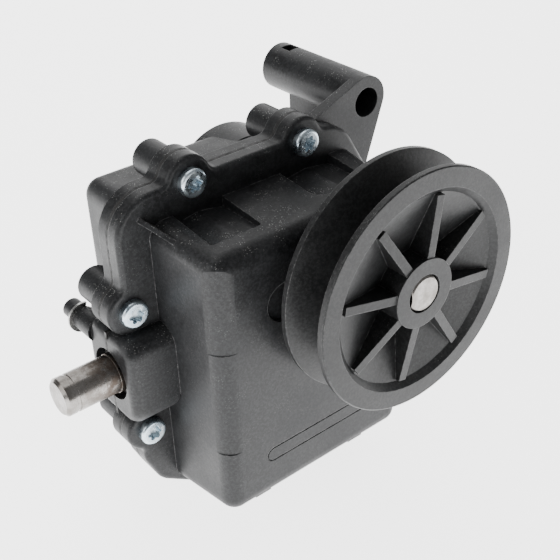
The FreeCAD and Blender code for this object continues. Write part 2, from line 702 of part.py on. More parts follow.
def make_worm_wheel():
    """Worm wheel that turns with the output shaft, with dogs on the left of its hub."""
    width = value("wheel_width")
    pitch_radius = value("gear_module * wheel_teeth / 2")
    lead = value("gear_module / (2 * worm_pitch_radius)")
    twist = lead * width / 2 / pitch_radius
    low = wheel_outline(-twist)
    high = wheel_outline(twist)
    high.translate(FreeCAD.Vector(0, 0, width))
    rim = doc.addObject("Part::Feature", "WheelRim")
    rim.Shape = Part.makeLoft([low, high], True, True)
    start = value("input_x - wheel_width / 2")
    rim.Placement = FreeCAD.Placement(
        FreeCAD.Vector(start, value("output_y"), value("output_z")), ALONG["x"]
    )
    centre = ("output_y", "output_z")
    left = "input_x - wheel_width / 2"
    hub = cylinder("wheel_hub", "wheel_hub_radius", f"{left} - wheel_hub_length", left, centre, "x")
    blank = joined("WheelBlank", [rim, hub] + dogs("wheel_dog", f"{left} - wheel_hub_length", -1, 0))
    bore = cylinder(
        "wheel_bore", "core_radius + running_gap", "sleeve_face_x - over",
        "input_x + wheel_width", centre, "x",
    )
    node(cut("WormWheel", blank, [bore]), "worm_wheel")
    ring = f"{left} - wheel_hub_length - ring_thickness - side_gap"
    retaining_ring("wheel_left_ring", ring, centre, "x", "dog_inner_radius - stop_gap")
    right = "input_x + wheel_width / 2"
    washer("wheel_washer", f"{right} + side_gap / 2", centre)
    retaining_ring("wheel_right_ring", f"{right} + washer_thickness + side_gap", centre, "x")


def dogs(name, face, direction, phase):
    """Four dogs standing out of a face, in the given direction along X."""
    start, end = (face, f"{face} + dog_height") if direction > 0 else (f"{face} - dog_height", face)
    outer = []
    count = int(value("dog_count"))
    for number in range(count):
        sector = cylinder(
            f"{name}_{number}", "wheel_hub_radius", start, end,
            ("output_y", "output_z"), "x", value("dog_angle"),
        )
        spin = FreeCAD.Rotation(FreeCAD.Vector(1, 0, 0), 360 / count * number + phase)
        sector.Placement = FreeCAD.Placement(sector.Placement.Base, spin.multiply(ALONG["x"]))
        hole = cylinder(
            f"{name}_hole_{number}", "dog_inner_radius", start, end, ("output_y", "output_z"), "x"
        )
        outer.append(cut(f"{name}_tooth_{number}", sector, [hole]))
    return outer


def washer(label, start, centre, radius="washer_radius"):
    """Flat thrust washer on the output shaft."""
    end = f"{start} + washer_thickness"
    bore = "core_radius + running_gap"
    profile = [(start, bore), (start, radius), (end, radius), (end, bore)]
    node(turned(f"{label}_body", "x", profile, centre), label)


# --------------------------------------------------------------------------- output shaft
def make_output_shaft():
    """Steel output shaft with chamfered ends, ring grooves and the sleeve's keyway."""
    left_bush = "-bush_inner_x + washer_thickness + ring_gap"
    right_bush = "bush_inner_x - washer_thickness - ring_gap - ring_thickness - ring_play"
    wheel_left = "input_x - wheel_width / 2 - wheel_hub_length - ring_thickness - side_gap"
    wheel_right = "input_x + wheel_width / 2 + washer_thickness + side_gap"
    spring_ring = "sleeve_face_x - sleeve_length - spring_length"
    spring_ring += " - washer_thickness - ring_thickness - side_gap"
    profile = [("-output_half", "0"), ("-output_half", "shaft_radius - end_chamfer")]
    profile += [("-output_half + end_chamfer", "shaft_radius")]
    profile += end_groove("-end_groove_x")
    profile += [("-snout_end", "shaft_radius"), ("-snout_end", "core_radius")]
    for start in (left_bush, spring_ring, wheel_left, wheel_right, right_bush):
        profile += ring_groove(start, "core_radius", "core_groove_radius")
    profile += [("snout_end", "core_radius"), ("snout_end", "shaft_radius")]
    profile += end_groove("end_groove_x")
    profile += [("output_half - end_chamfer", "shaft_radius")]
    profile += [("output_half", "shaft_radius - end_chamfer"), ("output_half", "0")]
    shaft = turned("OutputShaftBlank", "x", profile, ("output_y", "output_z"))
    doc.recompute()
    keyway = box(
        "keyway", ("key_left_x", "key_right_x"),
        ("output_y - key_width / 2", "output_y + key_width / 2"),
        ("output_z + key_bottom", "output_z + shaft_radius + over"),
    )
    node(cut("OutputShaft", shaft, [keyway]), "output_shaft")
    key = box(
        "SleeveKey", ("key_left_x", "key_right_x"),
        ("output_y - key_width / 2", "output_y + key_width / 2"),
        ("output_z + key_bottom", "output_z + key_top"),
    )
    node(key, "sleeve_key")
    centre = ("output_y", "output_z")
    washer("left_thrust_washer", "-bush_inner_x + ring_gap / 2", centre)
    washer("right_thrust_washer", "bush_inner_x - washer_thickness - ring_gap / 2", centre)
    retaining_ring("left_thrust_ring", left_bush, centre, "x")
    retaining_ring("right_thrust_ring", right_bush, centre, "x")
    retaining_ring("spring_ring", spring_ring, centre, "x")
    washer_at = f"{spring_ring} + ring_thickness + side_gap / 2"
    washer("spring_washer", washer_at, centre, "spring_radius + washer_thickness")


def end_groove(middle):
    """Corners of a ring groove near an end of the output shaft."""
    return [
        (f"{middle} - end_groove_width / 2", "shaft_radius"),
        (f"{middle} - end_groove_width / 2", "ring_groove_radius"),
        (f"{middle} + end_groove_width / 2", "ring_groove_radius"),
        (f"{middle} + end_groove_width / 2", "shaft_radius"),
    ]


def make_dog_sleeve():
    """Sleeve that slides on the key and locks the worm wheel to the output shaft."""
    centre = ("output_y", "output_z")
    barrel = cylinder(
        "sleeve_barrel", "wheel_hub_radius", "sleeve_face_x - sleeve_length", "sleeve_face_x",
        centre, "x",
    )
    blank = joined("SleeveBlank", [barrel] + dogs("sleeve_dog", "sleeve_face_x", 1, 45))
    bore = cylinder(
        "sleeve_bore", "core_radius + running_gap", "sleeve_face_x - sleeve_length - over",
        "sleeve_face_x + over", centre, "x",
    )
    slot = box(
        "sleeve_slot", ("sleeve_face_x - sleeve_length - over", "sleeve_face_x + over"),
        ("output_y - key_width / 2 - running_gap", "output_y + key_width / 2 + running_gap"),
        ("output_z", "output_z + key_top + ring_gap"),
    )
    relief = cylinder(
        "sleeve_relief", "dog_inner_radius", "sleeve_face_x - sliver", "sleeve_face_x + dog_height",
        centre, "x",
    )
    node(cut("DogSleeve", blank, [bore, slot, relief]), "dog_sleeve")


def make_clutch_spring():
    """Coil spring of square wire that pushes the dog sleeve towards the worm wheel."""
    half = value("spring_wire")
    length = value("spring_length - 2 * spring_wire - 2 * spring_gap")
    radius = value("spring_radius")
    turns = value("spring_turns")
    section = [(radius - half, -half), (radius - half, half), (radius + half, half), (radius + half, -half)]
    spring = doc.addObject("Part::Feature", "ClutchSpring")
    spring.Shape = swept_thread(length / turns, turns, radius, section)
    start = value("sleeve_face_x - sleeve_length - spring_length + spring_gap + spring_wire")
    spring.Placement = FreeCAD.Placement(
        FreeCAD.Vector(start, value("output_y"), value("output_z")), ALONG["x"]
    )
    node(spring, "clutch_spring")


# --------------------------------------------------------------------------- bearings, seals
def ball_bearing(name, start):
    """Deep-groove ball bearing: two rings, a cage and its balls."""
    centre = ("input_x", "input_z")
    end = f"{start} + bearing_width"
    middle = f"{start} + bearing_width / 2"
    inner = turned(f"{name}_inner", "y", [
        (start, "shaft_radius"),
        (start, "inner_ring_radius"),
        (end, "inner_ring_radius"),
        (end, "shaft_radius"),
    ], centre)
    grooved(inner, f"{name}_inner_race", "y", middle, "ball_pitch_radius", "race_radius")
    node(inner, f"{name}_inner_race_ring")
    outer = turned(f"{name}_outer", "y", [
        (start, "outer_ring_radius"),
        (start, "bearing_radius"),
        (end, "bearing_radius"),
        (end, "outer_ring_radius"),
    ], centre)
    grooved(outer, f"{name}_outer_race", "y", middle, "ball_pitch_radius", "race_radius")
    node(outer, f"{name}_outer_race_ring")
    hoop = turned(f"{name}_hoop", "y", [
        (f"{middle} - cage_width / 2", "ball_pitch_radius - cage_half"),
        (f"{middle} - cage_width / 2", "ball_pitch_radius + cage_half"),
        (f"{middle} + cage_width / 2", "ball_pitch_radius + cage_half"),
        (f"{middle} + cage_width / 2", "ball_pitch_radius - cage_half"),
    ], centre)
    doc.recompute()
    balls = []
    pockets = []
    count = int(value("ball_count"))
    for number in range(count):
        angle = 360 / count * number
        ball = doc.addObject("Part::Sphere", f"{name}_ball_{number}")
        bind(ball, Radius="ball_radius")
        x = f"input_x + ball_pitch_radius * cos({angle})"
        z = f"input_z + ball_pitch_radius * sin({angle})"
        place(ball, x, middle, z)
        balls.append(ball)
        pocket = doc.addObject("Part::Cylinder", f"{name}_pocket_{number}")
        bind(pocket, Radius="ball_radius + pocket_gap", Height="bearing_radius")
        place(pocket, "input_x", middle, "input_z")
        outward = FreeCAD.Rotation(FreeCAD.Vector(0, 1, 0), 90 - angle)
        pocket.Placement = FreeCAD.Placement(pocket.Placement.Base, outward)
        pockets.append(pocket)
    node(cut(f"{name}_cage_body", hoop, pockets), f"{name}_cage")
    group = doc.addObject("Part::Compound", f"{name}_ball_set")
    group.Links = balls
    node(group, f"{name}_balls")


def output_bearing(side, sign):
    """Plain bush and lip seal of the output shaft on one side."""
    centre = ("output_y", "output_z")
    spans = (
        ("bush", "bush_inner_x", "bush_outer_x"),
        ("seal", "bush_outer_x + seal_gap", "seal_outer_x"),
    )
    for kind, inner, outer in spans:
        start, end = (f"-({outer})", f"-({inner})") if sign < 0 else (inner, outer)
        profile = [
            (start, "core_radius + running_gap"),
            (start, "bush_radius"),
            (end, "bush_radius"),
            (end, "core_radius + running_gap"),
        ]
        node(turned(f"{side}_{kind}_body", "x", profile, centre), f"{side}_output_{kind}")


def make_input_seal():
    """Lip seal round the input shaft, behind the pulley."""
    front = "input_seal_front"
    rear = "input_seal_front + input_seal_width"
    profile = [
        (front, "shaft_radius + running_gap"),
        (front, "shaft_radius + lip_width"),
        (f"{front} + seal_recess", "shaft_radius + passage_gap"),
        (f"{front} + seal_recess", "input_seal_radius - seal_recess"),
        (front, "input_seal_radius - lip_width"),
        (front, "input_seal_radius"),
        (rear, "input_seal_radius"),
        (rear, "shaft_radius + running_gap"),
    ]
    node(turned("input_seal_body", "y", profile, ("input_x", "input_z")), "input_seal")


# --------------------------------------------------------------------------- housing
def shell_block(name, end, rounding):
    """Drafted block of a shell, rounded everywhere but at the joint."""
    block = doc.addObject("Part::Wedge", f"{name}_block")
    front = name == "front"
    ends = {"min": "end", "2max": "joint"} if front else {"min": "joint", "2max": "end"}
    low, high = ends["min"], ends["2max"]
    bind(block, Xmin=f"-half_at_{low}", Xmax=f"half_at_{low}")
    bind(block, X2min=f"-half_at_{high}", X2max=f"half_at_{high}")
    bind(block, Zmin=f"bottom_at_{low}", Zmax=f"top_at_{low}")
    bind(block, Z2min=f"bottom_at_{high}", Z2max=f"top_at_{high}")
    joint = "joint_front" if front else "joint_rear"
    bind(block, Ymin=end if front else joint, Ymax=joint if front else end)
    joint_y = value(joint)

    def choose(edge):
        at_joint = all(abs(vertex.Y - joint_y) < 1e-6 for vertex in edge.Vertexes)
        return None if at_joint else rounding

    return rounded(f"{name}_rounded_block", block, choose)


def shell_cavity(name, end):
    """Drafted hollow of a shell, one wall thickness inside the block."""
    hollow = doc.addObject("Part::Wedge", f"{name}_cavity")
    front = name == "front"
    low, high = ("end", "joint") if front else ("joint", "end")
    bind(hollow, Xmin=f"-half_at_{low} + wall", Xmax=f"half_at_{low} - wall")
    bind(hollow, X2min=f"-half_at_{high} + wall", X2max=f"half_at_{high} - wall")
    bind(hollow, Zmin=f"bottom_at_{low} + wall", Zmax=f"top_at_{low} - roof")
    bind(hollow, Z2min=f"bottom_at_{high} + wall", Z2max=f"top_at_{high} - roof")
    if front:
        bind(hollow, Ymin=f"{end} + wall", Ymax="joint_front + sliver")
    else:
        bind(hollow, Ymin="joint_rear - sliver", Ymax=f"{end} - wall")
    joint_y = value("joint_front + sliver" if front else "joint_rear - sliver")

    def choose(edge):
        at_joint = all(abs(vertex.Y - joint_y) < 1e-6 for vertex in edge.Vertexes)
        return None if at_joint else "cavity_rounding"

    return rounded(f"{name}_rounded_cavity", hollow, choose)


def flange_plate(name, start, end):
    """Flange outline with rounded corners and a blended ear round every screw."""
    plate = extruded(f"{name}_plate", "XZ", [
        ("-flange_half", "low_corner_top"),
        ("-low_corner_x", "low_corner_z"),
        ("-low_corner_end", "flange_bottom"),
        ("low_corner_end", "flange_bottom"),
        ("low_corner_x", "low_corner_z"),
        ("flange_half", "low_corner_top"),
        ("flange_half", "high_corner_z"),
        ("high_corner_x", "flange_top"),
        ("-flange_half", "flange_top"),
    ], start, end)
    top = value("flange_top")

    def at_corner(edge):
        if not runs_along(edge, "y"):
            return None
        point = edge.Vertexes[0].Point
        if abs(point.z - top) < 1e-6:
            return "corner_top_left" if point.x < 0 else "corner_top_right"
        return "corner_other"

    parts = [rounded(f"{name}_rounded_plate", plate, at_corner)]
    for spot, _, _ in SCREW_PLACES:
        centre = (f"{spot}_x", f"{spot}_z")
        parts.append(cylinder(f"{name}_ear_{spot}", "ear_radius", start, end, centre))
    outline = joined(f"{name}_outline", parts)
    outline.Refine = True
    centres = [(value(f"{spot}_x"), value(f"{spot}_z")) for spot, _, _ in SCREW_PLACES]
    reach = value("ear_radius")

    def beside_ear(edge):
        if not runs_along(edge, "y"):
            return None
        point = edge.Vertexes[0].Point
        for x, z in centres:
            on_circle = abs(math.hypot(point.x - x, point.z - z) - reach) < 1e-4
            if on_circle and abs(point.z - z) > 0.5:
                return "ear_blend"
        return None

    return rounded(f"{name}_blended", outline, beside_ear)


def front_flange():
    """Front flange with its rounded front edge."""
    plate = flange_plate("front_flange", "flange_front", "joint_front")
    front = value("flange_front")

    def choose(edge):
        at_front = all(abs(vertex.Y - front) < 1e-6 for vertex in edge.Vertexes)
        return "flange_edge" if at_front else None

    return rounded("front_flange_edged", plate, choose)


def snout(name, side, start, end, outer_y):
    """Rounded block of a shell round the output shaft, on one side."""
    span = ("-snout_end", "-half_at_end + over") if side == "left" else ("half_at_end - over", "snout_end")
    block = box(
        f"{name}_{side}_snout", span, (start, end),
        ("output_z - snout_half", "output_z + snout_half"),
    )
    far_y = value(outer_y)
    far_x = value("snout_end")

    def choose(edge):
        points = [vertex.Point for vertex in edge.Vertexes]
        if all(abs(point.y - far_y) < 1e-6 for point in points) and runs_along(edge, "x"):
            return "snout_rounding"
        at_end = all(abs(abs(point.x) - far_x) < 1e-6 for point in points)
        if at_end and any(abs(point.y - far_y) < 1e-6 for point in points):
            return "snout_end_rounding"
        return None

    return rounded(f"{name}_{side}_rounded_snout", block, choose)


def corner_cutter(name, span_x, span_z, centre, radius, start, end):
    """Tool along Y that rounds a corner: a box with a cylinder taken out of it."""
    block = box(f"{name}_block", span_x, (start, end), span_z)
    core = cylinder(f"{name}_core", radius, f"{start} - over", f"{end} + over", centre)
    return cut(name, block, [core])


def snout_with_corner(side):
    """Front snout with its inner lower corner rounded off beside the box."""
    low = "output_z - snout_half"
    if side == "left":
        span = ("-snout_corner_x - snout_corner", "-half_at_end + over + sliver")
        middle = "-snout_corner_x - snout_corner"
    else:
        span = ("half_at_end - over - sliver", "snout_corner_x + snout_corner")
        middle = "snout_corner_x + snout_corner"
    cutter = corner_cutter(
        f"front_{side}_corner", span, (f"{low} - over", f"{low} + snout_corner"),
        (middle, f"{low} + snout_corner"), "snout_corner", "snout_front - over", "flange_front",
    )
    whole = snout("front", side, "snout_front", "joint_front", "snout_front")
    return cut(f"front_{side}_cornered_snout", whole, [cutter])


def trough(name, prefix):
    """Trough in the top of the front shell, its floor falling to both sides of a crest."""
    low, crest = "top_at_end + trough_low", "top_at_end + trough_crest"
    solid = extruded(name, "XZ", [
        (f"{prefix}_left", low),
        (f"{prefix}_middle", crest),
        (f"{prefix}_right", low),
        (f"{prefix}_right", "flange_top"),
        (f"{prefix}_left", "flange_top"),
    ], f"{prefix}_front", "flange_front")
    front = value(f"{prefix}_front")

    def choose(edge):
        upright = runs_along(edge, "z") and abs(edge.Vertexes[0].Y - front) < 1e-6
        return f"{prefix}_corner" if upright else None

    return rounded(f"rounded_{name}", solid, choose)


def corner_relief(name, radius, low, high):
    """Tool that rounds the front left corner more deeply between two heights."""
    reach = f"(1 + (half_at_end - half_at_joint) / (joint_front - front_face)) * {radius}"
    centre = (f"-half_at_end + {reach}", f"front_face + {radius}")
    block = box(
        f"{name}_block", ("-half_at_joint", centre[0]), ("front_face - over", centre[1]), (low, high),
    )
    core = cylinder(f"{name}_core", radius, f"{low} - over", f"{high} + over", centre, "z")
    return cut(name, block, [core])


def corner_rib():
    """Thin rib that stands diagonally on the top left edge and rises towards the flange."""
    rib = doc.addObject("Part::Wedge", "corner_rib")
    half = "corner_rib_thickness / 2"
    bind(rib, Xmin=f"-{half}", Xmax=half, X2min=f"-{half}", X2max=half)
    bind(rib, Zmin="-corner_rib_root", Zmax="-corner_rib_sink")
    bind(rib, Z2min="-corner_rib_root", Z2max="corner_rib_height")
    bind(rib, Ymin="corner_rib_front", Ymax="flange_front + over")
    place(rib, "corner_rib_x", 0, "corner_rib_z")
    rib.Placement.Rotation = FreeCAD.Rotation(FreeCAD.Vector(0, 1, 0), -45)
    return rib


def feet(name, start, end):
    """Two flat-bottomed ribs under a shell, which it stands on."""
    return [
        box(
            f"{name}_{side}_foot",
            (f"foot_{side}_x - foot_width / 2", f"foot_{side}_x + foot_width / 2"),
            (start, end), ("0", "bottom_at_end"),
        )
        for side in ("left", "right")
    ]


def output_passages(name):
    """Cylinders that clear the bushes and seals through both snouts."""
    centre = ("output_y", "output_z")
    inner, outer = "half_at_end - wall - over", "snout_end + over"
    left = cylinder(f"{name}_left_passage", "bush_radius", f"-({outer})", f"-({inner})", centre, "x")
    right = cylinder(f"{name}_right_passage", "bush_radius", inner, outer, centre, "x")
    return [left, right]


def screw_holes(name, radius, start, end):
    """One hole for each housing screw."""
    holes = []
    for spot, _, _ in SCREW_PLACES:
        centre = (f"{spot}_x", f"{spot}_z")
        holes.append(cylinder(f"{name}_hole_{spot}", radius, start, end, centre))
    return holes


def make_front_housing():
    """Front shell: box, flange, snouts, seal boss and front bearing carrier."""
    centre = ("input_x", "input_z")
    outside = joined("FrontOutside", [
        shell_block("front", "front_face", "front_rounding"),
        front_flange(),
        snout_with_corner("left"),
        snout_with_corner("right"),
        corner_rib(),
        cylinder("seal_boss", "front_boss_radius", "front_boss_front", "front_face + over", centre),
    ] + feet("front", "foot_front", "joint_front"))
    hollow = cut("FrontHollow", outside, [shell_cavity("front", "front_face")])
    carrier = cylinder(
        "front_carrier", "carrier_radius", "front_face + over", "front_bearing_y + bearing_width", centre
    )
    blank = joined("FrontBlank", [hollow, carrier])
    tools = [
        cylinder("front_bearing_seat", "bearing_radius", "front_bearing_y", "joint_front", centre),
        cylinder("input_seal_seat", "input_seal_radius", "front_boss_front - over",
                 "input_seal_front + input_seal_width", centre),
        cylinder("input_passage", "shaft_radius + passage_gap", "front_boss_front", "joint_front", centre),
        trough("left_trough", "trough"),
        trough("right_trough", "second_trough"),
        corner_relief("low_relief", "low_ledge_radius", "low_ledge_z", "high_ledge_z"),
        corner_relief("high_relief", "high_ledge_radius", "high_ledge_z", "top_at_joint"),
        cylinder("face_recess", "face_recess_radius", "front_face - over",
                 "front_face + face_recess_depth", ("face_recess_x", "face_recess_z")),
    ]
    tools += output_passages("front")
    tools += screw_holes("front", "screw_radius + screw_gap", "flange_front - over", "joint_front + over")
    tools.append(label_groove())
    node(cut("FrontHousing", blank, tools), "front_housing")


def capsule(name, inset):
    """Slab with round ends over the label area of the front face."""
    low, high = f"label_low + ({inset})", f"label_high - ({inset})"
    middle = "(label_low + label_high) / 2"
    radius = f"(label_high - label_low) / 2 - ({inset})"
    depth = ("front_face - over", "front_face + label_depth")
    slab = box(f"{name}_slab", ("label_left", "label_right"), depth, (low, high))
    ends = [
        cylinder(f"{name}_{end}", radius, depth[0], depth[1], (end, middle))
        for end in ("label_left", "label_right")
    ]
    return joined(name, [slab] + ends)


def label_groove():
    """Thin engraved outline of the empty label area."""
    return cut("label_groove", capsule("label_outer", "0"), [capsule("label_inner", "label_line")])


def make_rear_housing():
    """Rear shell: box, flange, bosses, snouts, bearing carrier, torque arm and post."""
    centre = ("input_x", "input_z")
    bosses = []
    for spot, _, _ in SCREW_PLACES:
        at = (f"{spot}_x", f"{spot}_z")
        bosses.append(cylinder(f"rear_boss_{spot}", "boss_radius", "joint_rear + over", "boss_rear", at))
    outside = joined("RearOutside", [
        shell_block("rear", "rear_face", "rear_rounding"),
        flange_plate("rear_flange", "joint_rear", "flange_rear"),
        snout("rear", "left", "joint_rear", "snout_rear", "snout_rear"),
        snout("rear", "right", "joint_rear", "snout_rear", "snout_rear"),
        cylinder("bearing_bump", "bump_radius", "bump_front", "rear_face", centre),
    ] + bosses + torque_arm() + pivot_post() + feet("rear", "joint_rear", "foot_rear"))
    hollow = cut("RearHollow", outside, [shell_cavity("rear", "rear_face")])
    carrier = cylinder("rear_carrier", "carrier_radius", "rear_bearing_y", "rear_face - over", centre)
    blank = joined("RearBlank", [hollow, carrier])
    tools = [
        cylinder("rear_bearing_seat", "bearing_radius", "rear_bearing_y - over",
                 "rear_bearing_y + bearing_width", centre),
        cylinder("shaft_end_relief", "shaft_radius + passage_gap", "rear_bearing_y",
                 "input_rear + stop_gap", centre),
        cylinder("arm_bore", "arm_bore_radius", "joint_rear - over", "arm_rear + over",
                 ("arm_bore_x", "arm_bore_z")),
        box("arm_notch", ("arm_x - notch_width / 2", "arm_x + notch_width / 2"),
            ("notch_front", "notch_rear"), ("arm_z", "arm_z + arm_radius + over")),
    ]
    tools += output_passages("rear")
    tools += screw_holes("rear", "screw_radius", "joint_rear - over", "screw_seat + screw_length + 2 * over")
    node(cut("RearHousing", blank, tools), "rear_housing")


def torque_arm():
    """Tube parallel to the input shaft, its plate and the web under it."""
    tube = cylinder("arm_tube", "arm_radius", "joint_rear", "arm_rear", ("arm_x", "arm_z"))
    plate = extruded("arm_plate", "XZ", [
        ("plate_left_x", "plate_left_z"),
        ("arm_x - arm_radius * sin(plate_slope)", "arm_z + arm_radius * cos(plate_slope)"),
        ("arm_x + arm_radius * sin(plate_right_slope)", "arm_z - arm_radius * cos(plate_right_slope)"),
        ("plate_right_x", "plate_low_z"),
        ("plate_inner_x", "plate_low_z"),
        ("plate_left_x", "plate_left_z - ear_radius"),
    ], "joint_rear", "flange_rear")
    web = extruded("arm_web", "YZ", [
        ("joint_rear", "arm_z + web_top"),
        ("web_rear", "arm_z + web_top"),
        ("web_rear", "arm_z + web_rear_low"),
        ("web_knee_y", "arm_z + web_knee"),
        ("joint_rear", "arm_z + web_low"),
    ], "arm_x + web_right - web_thickness_arm", "arm_x + web_right")
    return [tube, plate, web]


def pivot_post():
    """Post on the left snout, with a groove for its snap ring."""
    centre = ("post_x", "post_z")
    base = cylinder("post_base", "post_radius", "snout_rear - snout_end_rounding", "post_shoulder", centre)
    neck = cylinder("post_neck", "post_neck_radius", "snout_rear - snout_end_rounding", "post_rear - over", centre)
    tip = cylinder("post_tip", "post_tip_radius", "post_shoulder + ring_thickness + ring_play", "post_rear", centre)
    return [base, neck, tip]


def make_gasket():
    """Flat gasket with the flange's outline and the housing's opening."""
    outline = flange_plate("gasket", "joint_front", "joint_rear")
    sides = [
        box(f"gasket_{side}_pad", span, ("joint_front", "joint_rear"),
            ("output_z - snout_half", "output_z + snout_half"))
        for side, span in (("left", ("-snout_end", "-flange_half + over")),
                           ("right", ("flange_half - over", "snout_end")))
    ]
    opening = box(
        "gasket_opening", ("-half_at_joint + wall", "half_at_joint - wall"),
        ("joint_front - over", "joint_rear + over"), ("bottom_at_joint + wall", "top_at_joint - wall"),
    )
    tools = [opening] + output_passages("gasket")
    tools += screw_holes("gasket", "screw_radius + screw_gap", "joint_front - over", "joint_rear + over")
    node(cut("Gasket", joined("GasketBlank", [outline] + sides), tools), "housing_gasket")


def make_screws():
    """Housing screws: button head with a six-lobed recess, plain shank."""
    screws = []
    head_front = "screw_seat - screw_head_height"
    lobes = int(value("lobe_count"))
    for spot, _, _ in SCREW_PLACES:
        centre = (f"{spot}_x", f"{spot}_z")
        head = cylinder(f"head_{spot}", "screw_head_radius", head_front, "screw_seat", centre)
        front = value(head_front)

        def choose(edge, front=front):
            at_front = all(abs(vertex.Y - front) < 1e-6 for vertex in edge.Vertexes)
            return "screw_crown" if at_front else None

        crowned = rounded(f"crowned_head_{spot}", head, choose)
        tip = "screw_seat + screw_length"
        shank = cylinder(f"shank_{spot}", "screw_radius", "screw_seat - stop_gap", tip, centre)
        span = (f"{head_front} - over", f"{head_front} + recess_depth")
        recess = [cylinder(f"recess_{spot}", "lobe_circle", span[0], span[1], centre)]
        for lobe in range(lobes):
            angle = 360 / lobes * lobe
            at = (
                f"{spot}_x + lobe_circle * cos({angle})",
                f"{spot}_z + lobe_circle * sin({angle})",
            )
            recess.append(cylinder(f"lobe_{spot}_{lobe}", "lobe_radius", span[0], span[1], at))
        blank = joined(f"screw_blank_{spot}", [crowned, shank])
        screws.append(cut(f"screw_{spot}", blank, recess))
    group = doc.addObject("Part::Compound", "ScrewSet")
    group.Links = screws
    node(group, "housing_screws")


def make_snap_ring():
    """Open ring in the groove of the pivot post."""
    centre = ("post_x", "post_z")
    start = "post_shoulder + ring_play / 2"
    end = "post_shoulder + ring_thickness"
    disc = cylinder("snap_ring_disc", "snap_ring_radius", start, end, centre, "y", angle=290)
    hole = cylinder("snap_ring_hole", "post_neck_radius", start, end, centre)
    node(cut("SnapRing", disc, [hole]), "post_snap_ring")


# --------------------------------------------------------------------------- build and export
def check_document():
    """Stop if an object failed or a piece has no valid shape."""
    failed = [obj.Name for obj in doc.Objects if {"Invalid", "Error"} & set(obj.State)]
    if failed:
        raise RuntimeError(f"objects failed: {failed}")
    for piece in nodes:
        if piece.Shape.isNull() or not piece.Shape.isValid():
            raise RuntimeError(f"bad shape: {piece.Label}")


def export_nodes():
    """Write every piece to parts/NODE.step."""
    os.makedirs("parts", exist_ok=True)
    for piece in nodes:
        piece.Shape.exportStep(f"parts/{piece.Label}.step")
        solids = len(piece.Shape.Solids)
        print(f"{piece.Label}: {solids} solid(s), {piece.Shape.Volume:.0f} mm3")


fill_sheet()
make_front_housing()
make_rear_housing()
make_gasket()
make_screws()
make_snap_ring()
make_pulley()
make_input_shaft()
make_input_seal()
ball_bearing("front_bearing", "front_bearing_y")
ball_bearing("rear_bearing", "rear_bearing_y")
make_output_shaft()
output_bearing("left", -1)
output_bearing("right", 1)
make_worm_wheel()
make_dog_sleeve()
make_clutch_spring()
doc.recompute()
check_document()
export_nodes()
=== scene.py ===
"""Looks of the worm gearbox: moulded shells, belt pulley, ground shafts and zinc screws."""

import json
import math

import bpy
from mathutils import Matrix, Vector


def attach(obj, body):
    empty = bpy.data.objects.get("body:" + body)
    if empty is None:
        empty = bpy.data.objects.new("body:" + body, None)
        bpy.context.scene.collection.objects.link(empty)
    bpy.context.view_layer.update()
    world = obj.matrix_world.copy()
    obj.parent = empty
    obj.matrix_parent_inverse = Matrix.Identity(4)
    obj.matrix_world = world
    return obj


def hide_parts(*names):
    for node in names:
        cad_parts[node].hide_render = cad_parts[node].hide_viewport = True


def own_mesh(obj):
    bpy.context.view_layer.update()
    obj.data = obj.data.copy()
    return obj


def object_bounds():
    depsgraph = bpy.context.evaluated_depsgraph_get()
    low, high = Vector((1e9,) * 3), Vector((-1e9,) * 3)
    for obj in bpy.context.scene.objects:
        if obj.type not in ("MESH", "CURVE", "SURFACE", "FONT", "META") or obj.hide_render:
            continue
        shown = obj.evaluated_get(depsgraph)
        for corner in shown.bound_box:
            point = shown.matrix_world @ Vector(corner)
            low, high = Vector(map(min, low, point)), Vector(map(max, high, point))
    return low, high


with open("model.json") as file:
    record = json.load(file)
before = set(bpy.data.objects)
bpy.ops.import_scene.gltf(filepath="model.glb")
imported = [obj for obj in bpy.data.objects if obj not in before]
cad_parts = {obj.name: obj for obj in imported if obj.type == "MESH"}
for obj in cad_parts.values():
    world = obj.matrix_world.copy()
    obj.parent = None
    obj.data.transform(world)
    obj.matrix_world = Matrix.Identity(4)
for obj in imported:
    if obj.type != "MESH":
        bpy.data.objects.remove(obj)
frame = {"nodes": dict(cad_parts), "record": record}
cad_low, cad_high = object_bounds()

MM = 0.001


# --------------------------------------------------------------------------- camera
CAMERA_AZIMUTH = -37.98
CAMERA_ELEVATION = 32.90
CAMERA_ROLL = -2.17
CAMERA_LENS = 63.78
CAMERA_PLACE = Vector((-0.19418, -0.25886, 0.30251))
SENSOR_WIDTH = 36
CLIP_START = 0.01


def make_camera():
    """Camera to the left of the front and above it, with a slight roll."""
    azimuth, elevation = math.radians(CAMERA_AZIMUTH), math.radians(CAMERA_ELEVATION)
    back = Vector((
        math.sin(azimuth) * math.cos(elevation),
        -math.cos(azimuth) * math.cos(elevation),
        math.sin(elevation),
    ))
    right = (-back).cross(Vector((0, 0, 1))).normalized()
    up = back.cross(right).normalized()
    roll = math.radians(CAMERA_ROLL)
    rolled_right = right * math.cos(roll) + up * math.sin(roll)
    rolled_up = up * math.cos(roll) - right * math.sin(roll)
    data = bpy.data.cameras.new("camera")
    data.lens = CAMERA_LENS
    data.sensor_width = SENSOR_WIDTH
    data.clip_start = CLIP_START
    camera = bpy.data.objects.new("camera", data)
    axes = Matrix((rolled_right, rolled_up, back)).transposed().to_4x4()
    camera.matrix_world = Matrix.Translation(CAMERA_PLACE) @ axes
    bpy.context.scene.collection.objects.link(camera)
    bpy.context.scene.camera = camera


# --------------------------------------------------------------------------- materials
BEVEL_SAMPLES = 6
EDGE_DUST = (0.30, 0.30, 0.30)
DUST = (0.55, 0.55, 0.53)
PLASTIC_SPECULAR = 0.28
SCRATCH_SCALE = 900
METAL_ROUNDING = 0.12 * MM
STAIN = (0.075, 0.050, 0.035)


